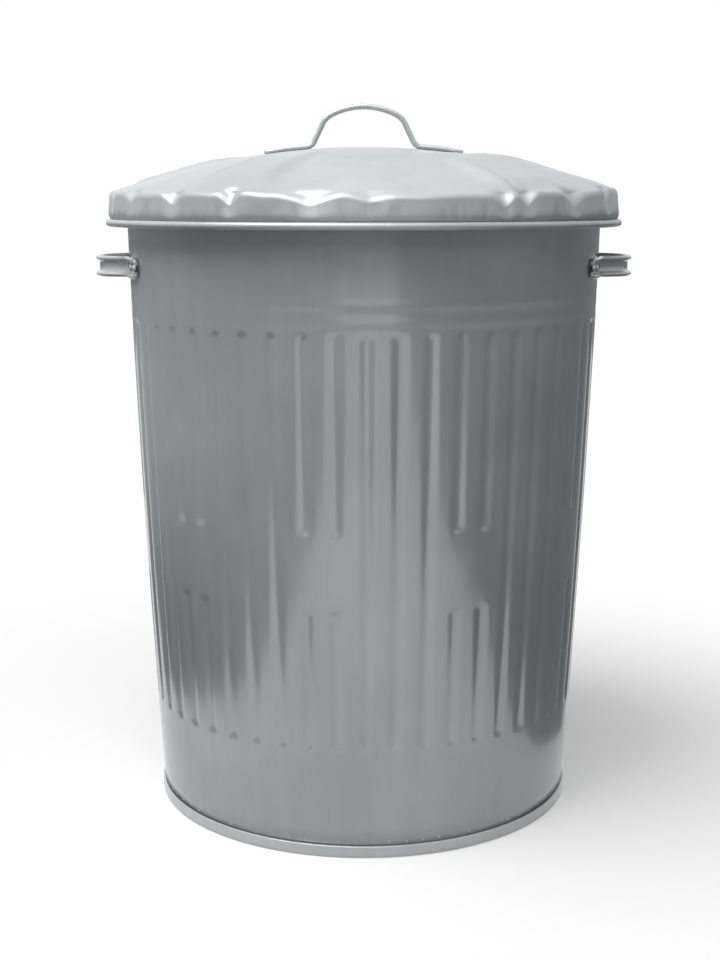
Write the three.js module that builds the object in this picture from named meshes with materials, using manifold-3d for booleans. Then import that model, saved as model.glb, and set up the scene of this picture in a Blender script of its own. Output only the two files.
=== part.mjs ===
// Galvanized trash can with a lift-off lid, in millimetres, +Z up.
// The origin is the centre of the base on the floor. The front faces -Y and the
// two side handles are on +X and -X.

import * as THREE from 'three';
import { mergeVertices } from 'three/addons/utils/BufferGeometryUtils.js';
import Module from 'manifold-3d';

const wasm = await Module();
wasm.setup();

// ---------------------------------------------------------------- dimensions

const SHEET = 0.6;               // steel sheet of the wall, the pan and the lid
const CLEARANCE = 0.3;           // gap between two pieces that touch
const SEGMENTS = 60;             // facets round every plain ring

const BIN_HEIGHT = 602;          // floor to the top of the rolled rim
const FLOOR_RADIUS = 206;        // outside of the wall at the floor
const RIM_RADIUS = 231;          // outside of the wall at the rim
const WALL_BULGE = 3.2;          // how far the tapered wall swells at half height
const WIRE_RADIUS = 2.5;         // wire inside the rolled rim and the lid bead
const CURL_FACET = 60;           // degrees of a rolled edge that one facet spans
const CURL_FACETS = 5;
const WIRE_FACETS = 6;           // facets round each wire's section

const FLUTE_COUNT = 50;          // grooves pressed into the wall
const FLUTE_PITCH = 7.1;         // degrees from one groove to the next
const FLUTE_WIDTH = 16;
const FLUTE_DEPTH = 3;
const FLUTE_LOW = 101;           // lower end of the grooves
const FLUTE_RUNOUT = 8;          // length of each groove's sloping end
const PLAIN_LOW = 239;           // plain patch where two grooves in five stop
const PLAIN_HIGH = 302;
const FLUTE_GROUP = 5;
const FLUTES_STOPPED = [3, 4];   // which grooves of each group stop at the patch

const SWAGE_DEPTH = 2;           // two ring grooves rolled in above the flutes
const SWAGE_WIDTH = 14;
const SWAGE_DROP = 95;           // rim top down to the middle of the upper ring groove
const SWAGE_SPACING = 15;        // from one ring groove to the other

const SEAM_ANGLE = 87;           // degrees from +X to the wall's lock seam, at the back
const SEAM_WIDTH = 9;
const SEAM_HEIGHT = 1;

const HOOP_HEIGHT = 10.8;        // band round the foot of the wall
const HOOP_SHEET = 0.8;
const HOOP_INNER_HEIGHT = 7;
const PAN_FLOOR = 18;            // top of the base above the floor
const PAN_CORNER = 6;
const PAN_STEP_RADIUS = 150;     // stiffening step pressed into the base
const PAN_STEP_DROP = 3;
const PAN_STEP_RUN = 6;          // length of the step's slope

const LID_PLAY = 7;              // gap between the rolled rim and the lid's rolled edge
const LID_BEAD_DROP = 28.5;      // rim top down to the middle of the lid's rolled edge
const SHOULDER_INSET = 3;        // lid's outermost edge in to the widest part of its skirt
const SHOULDER_RISE = 16;        // above the middle of the rolled edge
const SHOULDER_BEND_INSET = 4.5; // lid's outermost edge in to where the skirt meets the dome
const SHOULDER_BEND_RISE = 21;
const SKIRT_NECK_RISE = 5;
const WAVE_HEIGHT = 8;           // wrinkles that the press leaves round the shoulder
const WAVE_SPAN = 3;             // facets from one wrinkle's low point to the next
const DOME_RADIUS = 675;         // sphere that the dome is part of
const ARM_COUNT = 5;             // raised radial flats of the dome
const ARM_FACETS = 4;            // facets that one flat spans
const ARM_FIRST = -134.5;        // degrees from +X to the edge of the first flat
const ARM_HEIGHT = 4;
const ARM_RAMP = 14;             // length of the slope at a flat's inner end
const ARM_FADE = 22;             // from the end of a flat's full height out to the rim
const FADE_SHARE = 0.25;         // of the flats' and wrinkles' height, one ring off their full height

const STRAP_WIDTH = 20;          // pressed handle strap, the same on all three handles
const STRAP_SHEET = 1.2;
const STRAP_BEAD = 4.8;          // rolled edge along both sides of the strap
const ARCH_TOP_RADIUS = 67;
const ARCH_TOP_ANGLE = 27;
const ARCH_SHOULDER_RADIUS = 17;
const LEG_ANGLE = 64;
const FOOT_RADIUS = 12;
const ARCH_STEPS = 2;            // facets along each arc of the strap
const TAB_REACH = 97;            // middle of the strap to the end of its tab
const SIDE_HANDLE_RISE = 29;     // finger gap between the wall and the strap
const LID_HANDLE_RISE = 36;      // finger gap between the lid and the strap
const SIDE_HANDLE_DROP = 70;     // rim top down to the middle of the strap

const RIVET_RADIUS = 1.6;        // a 3.2 mm rivet
const RIVET_HEAD_RADIUS = 3.6;
const RIVET_HEAD_HEIGHT = 1.8;
const RIVET_TAIL_RADIUS = 2.8;
const RIVET_TAIL_HEIGHT = 1.2;
const RIVET_CHAMFER = 0.7;       // share of the head and of the tail where its slope turns
const RIVET_FACETS = 8;
const RIVET_INSET = 8;           // end of the tab to the middle of its outer rivet
const RIVET_SPACING = 15;

// ------------------------------------------------------------ derived sizes

const TURN = 2 * Math.PI;
const ANGLE_TIE = 1e-9;
const radians = THREE.MathUtils.degToRad;
const curlInside = WIRE_RADIUS + CLEARANCE;
const curlOutside = curlInside + SHEET;
const rimCentreRadius = RIM_RADIUS + curlInside;
const rimCentreHeight = BIN_HEIGHT - curlOutside;
const beadCentreRadius = rimCentreRadius + curlOutside + LID_PLAY + curlOutside;
const beadHeight = BIN_HEIGHT - LID_BEAD_DROP;
const lidRadius = beadCentreRadius + curlOutside;
const swageHigh = BIN_HEIGHT - SWAGE_DROP;
const swageLow = swageHigh - SWAGE_SPACING;
const fluteHigh = swageLow - SWAGE_WIDTH / 2;
const sideHandleHeight = BIN_HEIGHT - SIDE_HANDLE_DROP;
const seatRadius = rimCentreRadius + curlOutside * Math.tan(radians(CURL_FACET / 2));
const seatHeight = BIN_HEIGHT + CLEARANCE + SHEET;
const domeCentreHeight = seatHeight - Math.sqrt(DOME_RADIUS ** 2 - seatRadius ** 2);
const handleSeatRadius = wallRadius(sideHandleHeight + STRAP_WIDTH / 2) + CLEARANCE;

function wallRadius(height) {
  const share = height / BIN_HEIGHT;
  const straight = FLOOR_RADIUS + (RIM_RADIUS - FLOOR_RADIUS) * share;
  return straight + WALL_BULGE * 4 * share * (1 - share);
}

function domeHeight(radius) {
  return domeCentreHeight + Math.sqrt(DOME_RADIUS ** 2 - radius ** 2);
}

// ---------------------------------------------------------------- materials

function paintedSteel(color) {
  return new THREE.MeshStandardMaterial({ color, roughness: 0.38, metalness: 0.35 });
}

const wallSteel = paintedSteel(0x93989b);
const lidSteel = paintedSteel(0xb9bfc2);
const strapSteel = paintedSteel(0x9aa2a1);
const wireSteel = new THREE.MeshStandardMaterial({ color: 0x8c8f91, roughness: 0.5, metalness: 0.9 });
const rivetSteel = new THREE.MeshStandardMaterial({ color: 0xa4a8aa, roughness: 0.4, metalness: 0.8 });

// ------------------------------------------------------- rings of a thin shell

// A ring is a list of points round the axis, in rising order of angle.
function ring(angles, radiusAt, heightAt) {
  return angles.map((angle) => {
    const radius = radiusAt(angle);
    return { angle, x: radius * Math.cos(angle), y: radius * Math.sin(angle), z: heightAt(angle, radius) };
  });
}

function evenAngles(count) {
  return Array.from({ length: count }, (_, index) => (index * TURN) / count);
}

function inOneTurn(angle) {
  return ((angle % TURN) + TURN) % TURN;
}

function sortedAngles(angles) {
  return angles.map(inOneTurn).sort((a, b) => a - b);
}

// Triangles between two rings, which may have different numbers of points. Where
// both step to the same angle, the leading ring steps first.
function joinRings(first, second, triangles, secondLeads) {
  const tie = secondLeads ? -ANGLE_TIE : ANGLE_TIE;
  let here = 0;
  let there = 0;
  const nextAngle = (points, index) => points[(index + 1) % points.length].angle
    + (index + 1 >= points.length ? TURN : 0);
  while (here < first.length || there < second.length) {
    const from = first[here % first.length].index;
    const across = second[there % second.length].index;
    const stepHere = there >= second.length
      || (here < first.length && nextAngle(first, here) <= nextAngle(second, there) + tie);
    const to = stepHere ? first[(here + 1) % first.length].index : second[(there + 1) % second.length].index;
    if (from !== to && across !== to) triangles.push(from, to, across);
    if (stepHere) here += 1;
    else there += 1;
  }
}

// A chain of rings walked anticlockwise round the sheet's section. It closes on
// itself, or it starts and ends in a single point on the axis. Its second half
// comes back along the other face, and splits each facet the way the first does.
function shellGeometry(rings) {
  const positions = [];
  rings.flat().forEach((point, index) => {
    point.index = index;
    positions.push(point.x, point.y, point.z);
  });
  const triangles = [];
  const closed = rings[0].length > 1;
  rings.forEach((points, index) => {
    const comingBack = index >= rings.length / 2;
    if (index + 1 < rings.length) joinRings(points, rings[index + 1], triangles, comingBack);
    else if (closed) joinRings(points, rings[0], triangles, comingBack);
  });
  const geometry = new THREE.BufferGeometry();
  geometry.setAttribute('position', new THREE.Float32BufferAttribute(positions, 3));
  geometry.setIndex(triangles);
  return geometry;
}

// Points of a sheet rolled round a wire, from the wire's inner side: over the top
// of the wire for a rim, or under it for the edge of a lid.
function curlPoints(centreRadius, centreHeight, curlRadius, turnsUp) {
  const cornerRadius = curlRadius / Math.cos(radians(CURL_FACET / 2));
  return Array.from({ length: CURL_FACETS + 1 }, (_, step) => {
    const angle = Math.PI + radians(turnsUp * CURL_FACET * step);
    return [centreRadius + cornerRadius * Math.cos(angle), centreHeight + cornerRadius * Math.sin(angle)];
  });
}

function plainRings(points, angles) {
  return points.map(([radius, height]) => ring(angles, () => radius, () => height));
}

// ----------------------------------------------------------- solids and holes

function solidOf(geometry) {
  const bare = geometry.clone();
  bare.deleteAttribute('normal');
  bare.deleteAttribute('uv');
  const merged = mergeVertices(bare, 1e-4);
  return new wasm.Manifold(new wasm.Mesh({
    numProp: 3,
    vertProperties: new Float32Array(merged.attributes.position.array),
    triVerts: new Uint32Array(merged.index.array),
  }));
}

function geometryOf(solid) {
  const mesh = solid.getMesh();
  const geometry = new THREE.BufferGeometry();
  geometry.setAttribute('position', new THREE.BufferAttribute(mesh.vertProperties, 3));
  geometry.setIndex(new THREE.BufferAttribute(mesh.triVerts, 1));
  return geometry;
}

// The geometry with a round hole at each place, along the place's own Z.
function drilled(geometry, places, depth) {
  const drill = new THREE.CylinderGeometry(
    RIVET_RADIUS + CLEARANCE, RIVET_RADIUS + CLEARANCE, depth, RIVET_FACETS,
  ).rotateX(Math.PI / 2);
  let solid = solidOf(geometry);
  for (const place of places) solid = solid.subtract(solidOf(drill.clone().applyMatrix4(place)));
  return geometryOf(solid);
}

function named(name, geometry, material) {
  const shaded = geometry.index ? geometry.toNonIndexed() : geometry;
  shaded.computeVertexNormals();
  const mesh = new THREE.Mesh(shaded, material);
  mesh.name = name;
  return mesh;
}

// --------------------------------------------------------------- fluted wall

const fluteHalfAngle = FLUTE_WIDTH / 2 / RIM_RADIUS;
const seamMiddle = radians(SEAM_ANGLE);
const seamHalfAngle = SEAM_WIDTH / 2 / RIM_RADIUS;
const seamEdgeAngle = SEAM_HEIGHT / RIM_RADIUS;

// The grooves fill the turn evenly from one side of the seam to the other.
function fluteAngle(index) {
  return seamMiddle + Math.PI + radians((index - (FLUTE_COUNT - 1) / 2) * FLUTE_PITCH);
}

function fluteStops(index) {
  return FLUTES_STOPPED.includes(index % FLUTE_GROUP);
}

function fromSeam(angle) {
  return Math.abs(inOneTurn(angle - seamMiddle + Math.PI) - Math.PI);
}

const seamAngles = [-seamHalfAngle - seamEdgeAngle, -seamHalfAngle, seamHalfAngle, seamHalfAngle + seamEdgeAngle]
  .map((offset) => seamMiddle + offset);
const plainWallAngles = sortedAngles([
  ...evenAngles(SEGMENTS).filter((angle) => fromSeam(angle) > seamHalfAngle + 2 * seamEdgeAngle),
  ...seamAngles,
]);

function onSeam(angle) {
  return fromSeam(angle) < seamHalfAngle + seamEdgeAngle / 2 ? SEAM_HEIGHT : 0;
}

function plainWallRing(radius, height, outside) {
  return ring(plainWallAngles, (angle) => radius + (outside ? onSeam(angle) : 0), () => height);
}

// One level of the fluted stretch: each groove gives its two edges and its bottom.
function flutedRing(height, depthOf, outside) {
  const radius = wallRadius(height) - (outside ? 0 : SHEET);
  const points = seamAngles.map((angle) => ({ angle, radius: radius + (outside ? onSeam(angle) : 0) }));
  for (let index = 0; index < FLUTE_COUNT; index += 1) {
    const middle = fluteAngle(index);
    points.push({ angle: middle - fluteHalfAngle, radius });
    points.push({ angle: middle, radius: radius - depthOf(index) });
    points.push({ angle: middle + fluteHalfAngle, radius });
  }
  points.forEach((point) => { point.angle = inOneTurn(point.angle); });
  points.sort((a, b) => a.angle - b.angle);
  const radii = new Map(points.map((point) => [point.angle, point.radius]));
  return ring(points.map((point) => point.angle), (angle) => radii.get(angle), () => height);
}

function wallFace(outside) {
  const full = () => FLUTE_DEPTH;
  const patched = (index) => (fluteStops(index) ? 0 : FLUTE_DEPTH);
  const offset = outside ? 0 : SHEET;
  const plain = (height, drop = 0) => plainWallRing(wallRadius(height) - offset - drop, height, outside);
  return [
    plain(HOOP_SHEET + CLEARANCE),
    plain(FLUTE_LOW),
    flutedRing(FLUTE_LOW + FLUTE_RUNOUT, full, outside),
    flutedRing(PLAIN_LOW - FLUTE_RUNOUT, full, outside),
    flutedRing(PLAIN_LOW, patched, outside),
    flutedRing(PLAIN_HIGH, patched, outside),
    flutedRing(PLAIN_HIGH + FLUTE_RUNOUT, full, outside),
    flutedRing(fluteHigh - FLUTE_RUNOUT, full, outside),
    plain(fluteHigh),
    plain(swageLow, SWAGE_DEPTH),
    plain((swageLow + swageHigh) / 2),
    plain(swageHigh, SWAGE_DEPTH),
    plain(swageHigh + SWAGE_WIDTH / 2),
  ];
}

function bodyShell() {
  const curlRings = (radius) => curlPoints(rimCentreRadius, rimCentreHeight, radius, -1)
    .map(([ringRadius, height]) => ring(plainWallAngles, () => ringRadius, () => height));
  const geometry = shellGeometry([
    ...wallFace(true),
    ...curlRings(curlInside),
    ...curlRings(curlOutside).reverse(),
    ...wallFace(false).reverse(),
  ]);
  return named('body_shell', drilled(geometry, sideRivetPlaces(), STRAP_WIDTH), wallSteel);
}

// ------------------------------------------------------------ wires and base

// A wire bent into a ring, with its corners on the facets of the rolled sheet.
function wireRing(name, ringRadius, height, angles) {
  const rings = evenAngles(WIRE_FACETS).map((turn) => ring(
    angles,
    () => ringRadius + WIRE_RADIUS * Math.cos(turn),
    () => height + WIRE_RADIUS * Math.sin(turn),
  ));
  return named(name, shellGeometry(rings), wireSteel);
}

function basePan() {
  const outer = (height) => wallRadius(height) - SHEET - CLEARANCE;
  const low = HOOP_SHEET + CLEARANCE;
  const under = PAN_FLOOR - SHEET;
  const section = [
    [outer(low), low],
    [outer(PAN_FLOOR - PAN_CORNER), PAN_FLOOR - PAN_CORNER],
    [outer(PAN_FLOOR) - PAN_CORNER, PAN_FLOOR],
    [PAN_STEP_RADIUS + PAN_STEP_RUN, PAN_FLOOR],
    [PAN_STEP_RADIUS, PAN_FLOOR - PAN_STEP_DROP],
    [0, PAN_FLOOR - PAN_STEP_DROP],
  ];
  const back = [
    [0, under - PAN_STEP_DROP],
    [PAN_STEP_RADIUS + SHEET / 2, under - PAN_STEP_DROP],
    [PAN_STEP_RADIUS + PAN_STEP_RUN + SHEET / 2, under],
    [outer(PAN_FLOOR) - PAN_CORNER - SHEET / 2, under],
    [outer(under - PAN_CORNER) - SHEET, under - PAN_CORNER],
    [outer(low) - SHEET, low],
  ];
  const points = [...section, ...back].map(([radius, height]) => new THREE.Vector2(radius, height));
  points.push(points[0].clone());
  return named('base_pan', new THREE.LatheGeometry(points, SEGMENTS).rotateX(Math.PI / 2), wallSteel);
}

function baseHoop() {
  const inside = wallRadius(HOOP_HEIGHT) + SEAM_HEIGHT + CLEARANCE;
  const panFoot = wallRadius(HOOP_SHEET + CLEARANCE) - 2 * (SHEET + CLEARANCE);
  const profile = [
    [panFoot - HOOP_SHEET, 0],
    [inside + HOOP_SHEET, 0],
    [inside + HOOP_SHEET, HOOP_HEIGHT],
    [inside, HOOP_HEIGHT],
    [inside, HOOP_SHEET],
    [panFoot, HOOP_SHEET],
    [panFoot, HOOP_INNER_HEIGHT],
    [panFoot - HOOP_SHEET, HOOP_INNER_HEIGHT],
  ];
  return named('base_hoop', shellGeometry(plainRings(profile, evenAngles(SEGMENTS))), wallSteel);
}

// ----------------------------------------------------------------------- lid

const facetAngle = TURN / SEGMENTS;
const lidAngles = sortedAngles(evenAngles(SEGMENTS).map((angle) => angle + radians(ARM_FIRST)));

// Facets from the edge of the first raised flat.
function lidColumn(angle) {
  return Math.round(inOneTurn(angle - radians(ARM_FIRST)) / facetAngle);
}

function lidWave(angle) {
  return lidColumn(angle) % WAVE_SPAN === 0 ? 0 : 1;
}

function lidArm(angle) {
  const along = lidColumn(angle) % (SEGMENTS / ARM_COUNT);
  return along > 0 && along < ARM_FACETS ? ARM_HEIGHT : 0;
}

function lidFace(outside) {
  const inset = outside ? 0 : SHEET;
  const neckRadius = beadCentreRadius - curlInside - inset;
  const domeRing = (radius, waveShare, armShare) => ring(
    lidAngles,
    () => radius,
    (angle) => domeHeight(radius) - inset + lidWave(angle) * WAVE_HEIGHT * waveShare + lidArm(angle) * armShare,
  );
  const tip = [{ angle: 0, x: 0, y: 0, z: domeHeight(0) - inset }];
  const skirt = (radius, rise, waveShare) => ring(
    lidAngles,
    () => radius - inset,
    (angle) => beadHeight + rise - inset * waveShare + lidWave(angle) * WAVE_HEIGHT * waveShare,
  );
  return [
    tip,
    domeRing(TAB_REACH / 2, 0, 0),
    domeRing(TAB_REACH, 0, 0),
    domeRing(TAB_REACH + ARM_RAMP, 0, 1),
    domeRing(seatRadius - ARM_FADE, 0, 1),
    domeRing(seatRadius, FADE_SHARE, FADE_SHARE),
    skirt(lidRadius - SHOULDER_BEND_INSET, SHOULDER_BEND_RISE, 1),
    skirt(lidRadius - SHOULDER_INSET, SHOULDER_RISE, FADE_SHARE),
    ring(lidAngles, () => neckRadius, () => beadHeight + SKIRT_NECK_RISE),
  ];
}

function lidShell() {
  const curlRings = (radius) => plainRings(curlPoints(beadCentreRadius, beadHeight, radius, 1), lidAngles);
  const geometry = shellGeometry([
    ...lidFace(false),
    ...curlRings(curlOutside),
    ...curlRings(curlInside).reverse(),
    ...lidFace(true).reverse(),
  ]);
  return named('lid_shell', drilled(geometry, lidRivetPlaces(), STRAP_WIDTH), lidSteel);
}

// ------------------------------------------------------------------- handles

// Inner face of the strap from its middle to one end, over a round surface whose
// centre is the origin: top arc, shoulder, straight leg, foot and tab.
function halfStrapLine(surfaceRadius, rise) {
  const topAngle = radians(ARCH_TOP_ANGLE);
  const legAngle = radians(LEG_ANGLE);
  const topCentre = new THREE.Vector2(0, surfaceRadius + rise - ARCH_TOP_RADIUS);
  const shoulderCentre = new THREE.Vector2(Math.sin(topAngle), Math.cos(topAngle))
    .multiplyScalar(ARCH_TOP_RADIUS - ARCH_SHOULDER_RADIUS).add(topCentre);
  const legOut = new THREE.Vector2(Math.sin(legAngle), Math.cos(legAngle));
  const legDown = new THREE.Vector2(Math.cos(legAngle), -Math.sin(legAngle));
  const footStart = legOut.clone().multiplyScalar(ARCH_SHOULDER_RADIUS + FOOT_RADIUS).add(shoulderCentre);
  const along = footStart.dot(legDown);
  const reach = surfaceRadius + FOOT_RADIUS;
  const legLength = -along - Math.sqrt(along ** 2 - footStart.lengthSq() + reach ** 2);
  const footCentre = footStart.clone().addScaledVector(legDown, legLength);
  const footAngle = Math.atan2(footCentre.y, footCentre.x);
  const tabEndAngle = Math.PI / 2 - TAB_REACH / surfaceRadius;
  const line = new THREE.Path();
  line.absarc(topCentre.x, topCentre.y, ARCH_TOP_RADIUS, Math.PI / 2, Math.PI / 2 - topAngle, true);
  line.absarc(shoulderCentre.x, shoulderCentre.y, ARCH_SHOULDER_RADIUS,
    Math.PI / 2 - topAngle, Math.PI / 2 - legAngle, true);
  line.absarc(footCentre.x, footCentre.y, FOOT_RADIUS, -Math.PI / 2 - legAngle, footAngle - Math.PI, false);
  line.absarc(0, 0, surfaceRadius, footAngle, tabEndAngle, true);
  return line.getPoints(ARCH_STEPS);
}

// Section of the strap: across its width, and outwards from its inner face.
function strapSection() {
  const half = STRAP_WIDTH / 2;
  const web = half - STRAP_BEAD;
  return [
    [-half, 0], [half, 0], [half, STRAP_BEAD], [web, STRAP_BEAD],
    [web, STRAP_SHEET], [-web, STRAP_SHEET], [-web, STRAP_BEAD], [-half, STRAP_BEAD],
  ].map(([across, out]) => new THREE.Vector2(across, out));
}

// The strap as a solid, with its line in the XY plane and its width along Z.
function strapGeometry(surfaceRadius, rise) {
  const half = halfStrapLine(surfaceRadius, rise);
  const line = [...half.slice(1).reverse().map((point) => new THREE.Vector2(-point.x, point.y)), ...half];
  const section = strapSection();
  const positions = [];
  line.forEach((point, index) => {
    const before = line[Math.max(index - 1, 0)];
    const after = line[Math.min(index + 1, line.length - 1)];
    const along = after.clone().sub(before).normalize();
    for (const { x: across, y: out } of section) {
      positions.push(point.x - along.y * out, point.y + along.x * out, across);
    }
  });
  const triangles = [];
  const count = section.length;
  for (let step = 0; step + 1 < line.length; step += 1) {
    for (let corner = 0; corner < count; corner += 1) {
      const next = (corner + 1) % count;
      const [a, b] = [step * count + corner, step * count + next];
      triangles.push(a, b + count, b, a, a + count, b + count);
    }
  }
  const last = (line.length - 1) * count;
  for (const [a, b, c] of THREE.ShapeUtils.triangulateShape(section, [])) {
    triangles.push(a, b, c, last + a, last + c, last + b);
  }
  const geometry = new THREE.BufferGeometry();
  geometry.setAttribute('position', new THREE.Float32BufferAttribute(positions, 3));
  geometry.setIndex(triangles);
  return geometry;
}

// Angles of a handle's rivets from the middle of its strap, over its surface.
function rivetAngles(surfaceRadius) {
  return [-1, 1].flatMap((side) => [RIVET_INSET + RIVET_SPACING, RIVET_INSET]
    .map((inset) => (side * (TAB_REACH - inset)) / surfaceRadius));
}

// From a strap drawn in the XY plane to its place on the bin or the lid.
function sideHandlePlace(side) {
  const turned = new THREE.Matrix4().makeRotationZ(-Math.PI / 2 + (side < 0 ? Math.PI : 0));
  return new THREE.Matrix4().makeTranslation(0, 0, sideHandleHeight).multiply(turned);
}

function lidHandlePlace() {
  const upright = new THREE.Matrix4().makeRotationX(Math.PI / 2);
  return new THREE.Matrix4().makeTranslation(0, 0, domeCentreHeight).multiply(upright);
}

const lidSeatRadius = DOME_RADIUS + CLEARANCE;

// Where each rivet's head rests on the strap, with the rivet's Z pointing out.
function rivetPlaces(surfaceRadius, handlePlace) {
  return rivetAngles(surfaceRadius).map((angle) => {
    const outwards = new THREE.Matrix4().makeRotationX(-Math.PI / 2);
    const seat = new THREE.Matrix4().makeTranslation(0, surfaceRadius + STRAP_SHEET, 0);
    const turned = new THREE.Matrix4().makeRotationZ(-angle);
    return handlePlace.clone().multiply(turned).multiply(seat).multiply(outwards);
  });
}

function sideRivetPlaces() {
  return [-1, 1].flatMap((side) => rivetPlaces(handleSeatRadius, sideHandlePlace(side)));
}

function lidRivetPlaces() {
  return rivetPlaces(lidSeatRadius, lidHandlePlace());
}

function handle(name, surfaceRadius, rise, place) {
  const geometry = strapGeometry(surfaceRadius, rise).applyMatrix4(place);
  return named(name, drilled(geometry, rivetPlaces(surfaceRadius, place), STRAP_BEAD * 2), strapSteel);
}

// A set rivet: domed head on the strap, shank through both sheets, tail inside.
function rivet(name, place, grip) {
  const headSeat = CLEARANCE;
  const tailSeat = -grip - CLEARANCE;
  const profile = [
    [0, tailSeat - RIVET_TAIL_HEIGHT],
    [RIVET_TAIL_RADIUS * RIVET_CHAMFER, tailSeat - RIVET_TAIL_HEIGHT],
    [RIVET_TAIL_RADIUS, tailSeat],
    [RIVET_RADIUS, tailSeat],
    [RIVET_RADIUS, headSeat],
    [RIVET_HEAD_RADIUS, headSeat],
    [RIVET_HEAD_RADIUS * RIVET_CHAMFER, headSeat + RIVET_HEAD_HEIGHT * RIVET_CHAMFER],
    [0, headSeat + RIVET_HEAD_HEIGHT],
  ].map(([radius, height]) => new THREE.Vector2(radius, height));
  const geometry = new THREE.LatheGeometry(profile, RIVET_FACETS).rotateX(Math.PI / 2);
  return named(name, geometry.applyMatrix4(place), rivetSteel);
}

// ------------------------------------------------------------------ assembly

const group = new THREE.Group();
const flatness = 1 - Math.cos(Math.PI / SEGMENTS);
const wallGrip = STRAP_SHEET + handleSeatRadius + SHEET
  - wallRadius(sideHandleHeight - RIVET_TAIL_RADIUS) * (1 - flatness);
const domeFlatness = (TAB_REACH / 2) ** 2 / (8 * DOME_RADIUS);
const lidGrip = STRAP_SHEET + CLEARANCE + SHEET + domeFlatness;

group.add(bodyShell(), basePan(), baseHoop());
group.add(wireRing('rim_wire', rimCentreRadius, rimCentreHeight, plainWallAngles));
group.add(lidShell());
group.add(wireRing('lid_bead_wire', beadCentreRadius, beadHeight, lidAngles));

for (const [side, word] of [[-1, 'left'], [1, 'right']]) {
  const place = sideHandlePlace(side);
  group.add(handle(`side_handle_${word}`, handleSeatRadius, SIDE_HANDLE_RISE, place));
  rivetPlaces(handleSeatRadius, place).forEach((rivetPlace, index) => {
    group.add(rivet(`side_rivet_${word}_${index + 1}`, rivetPlace, wallGrip));
  });
}

group.add(handle('lid_handle', lidSeatRadius, LID_HANDLE_RISE, lidHandlePlace()));
lidRivetPlaces().forEach((place, index) => group.add(rivet(`lid_rivet_${index + 1}`, place, lidGrip)));

export default group;
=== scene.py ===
"""A round sheet-steel bin: fluted wall, banded foot, domed loose lid and three strap handles.

Run as a script, it dresses the bin's construction model with pressed, painted and worn
sheet metal and stands it on a pale studio floor. All lengths are in metres and +Z is up.
The origin is the centre of the foot on the floor, and the front faces -Y.
"""

import math

import bpy
import numpy as np
from bpy.props import FloatProperty, FloatVectorProperty, IntProperty, PointerProperty
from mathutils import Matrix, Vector


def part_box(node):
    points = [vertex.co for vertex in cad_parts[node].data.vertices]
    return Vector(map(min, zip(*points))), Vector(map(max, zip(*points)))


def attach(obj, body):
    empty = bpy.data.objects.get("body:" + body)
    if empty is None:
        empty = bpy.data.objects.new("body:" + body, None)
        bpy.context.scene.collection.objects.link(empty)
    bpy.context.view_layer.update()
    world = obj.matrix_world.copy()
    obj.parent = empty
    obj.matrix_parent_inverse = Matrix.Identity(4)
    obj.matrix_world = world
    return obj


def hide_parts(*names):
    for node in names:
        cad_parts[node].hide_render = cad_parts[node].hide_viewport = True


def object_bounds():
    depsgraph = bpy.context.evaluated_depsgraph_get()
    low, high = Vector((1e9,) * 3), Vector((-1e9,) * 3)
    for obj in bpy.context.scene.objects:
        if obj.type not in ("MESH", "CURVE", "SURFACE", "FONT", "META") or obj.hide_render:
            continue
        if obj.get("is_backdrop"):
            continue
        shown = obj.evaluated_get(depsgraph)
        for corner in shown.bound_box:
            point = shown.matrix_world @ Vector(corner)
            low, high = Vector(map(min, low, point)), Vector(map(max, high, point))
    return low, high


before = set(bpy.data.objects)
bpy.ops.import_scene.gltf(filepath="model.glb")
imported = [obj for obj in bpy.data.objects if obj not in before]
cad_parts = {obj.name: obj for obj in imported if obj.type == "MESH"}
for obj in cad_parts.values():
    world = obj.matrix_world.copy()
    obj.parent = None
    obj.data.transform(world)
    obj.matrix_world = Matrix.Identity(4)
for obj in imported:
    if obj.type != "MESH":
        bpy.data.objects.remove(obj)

bl_info = {
    "name": "Fluted Steel Bin",
    "version": (1, 0, 0),
    "blender": (4, 5, 0),
    "location": "View3D > Sidebar > Steel Bin",
    "description": "Builds a fluted sheet-steel bin with a lift-off lid, and its studio",
    "category": "Add Mesh",
}

# ------------------------------------------------------------------ places from the frame

CAD_LOW, CAD_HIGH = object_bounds()
SHELL_LOW, SHELL_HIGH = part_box("body_shell")
LID_WIRE_LOW, LID_WIRE_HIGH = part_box("lid_bead_wire")
BAND_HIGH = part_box("base_hoop")[1]
PAN_LOW, PAN_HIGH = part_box("base_pan")
SIDE_HANDLE_LOW, SIDE_HANDLE_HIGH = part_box("side_handle_right")

SHEET = 0.0006                   # steel of the wall, the base and the lid
BAND_SHEET = 0.0008              # steel of the band round the foot
CLEARANCE = 0.0003               # gap between pieces that lie on each other
WIRE_RADIUS = 0.0025
ROLL_TURN = math.radians(300)    # how far an edge is rolled round its wire
ROLL_STEPS = 18


def length(name, description, default):
    """A length in metres that the sidebar shows in the scene's unit."""
    return FloatProperty(
        name=name, description=description, default=default, precision=5, unit="LENGTH", subtype="DISTANCE"
    )


def turn(name, description, degrees):
    """An angle, given here in degrees."""
    return FloatProperty(name=name, description=description, default=math.radians(degrees), subtype="ANGLE")


def whole_number(name, description, default):
    """A whole number of things."""
    return IntProperty(name=name, description=description, default=default, min=1)


def colour(name, description, red, green, blue):
    """A colour, given here as it looks on a screen, from 0 to 255."""
    levels = [channel / 255 for channel in (red, green, blue)]
    linear = [((level + 0.055) / 1.055) ** 2.4 for level in levels]
    return FloatVectorProperty(
        name=name, description=description, subtype="COLOR", size=4, min=0, max=1, default=(*linear, 1)
    )


# ------------------------------------------------------------------------------ sizes


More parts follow.
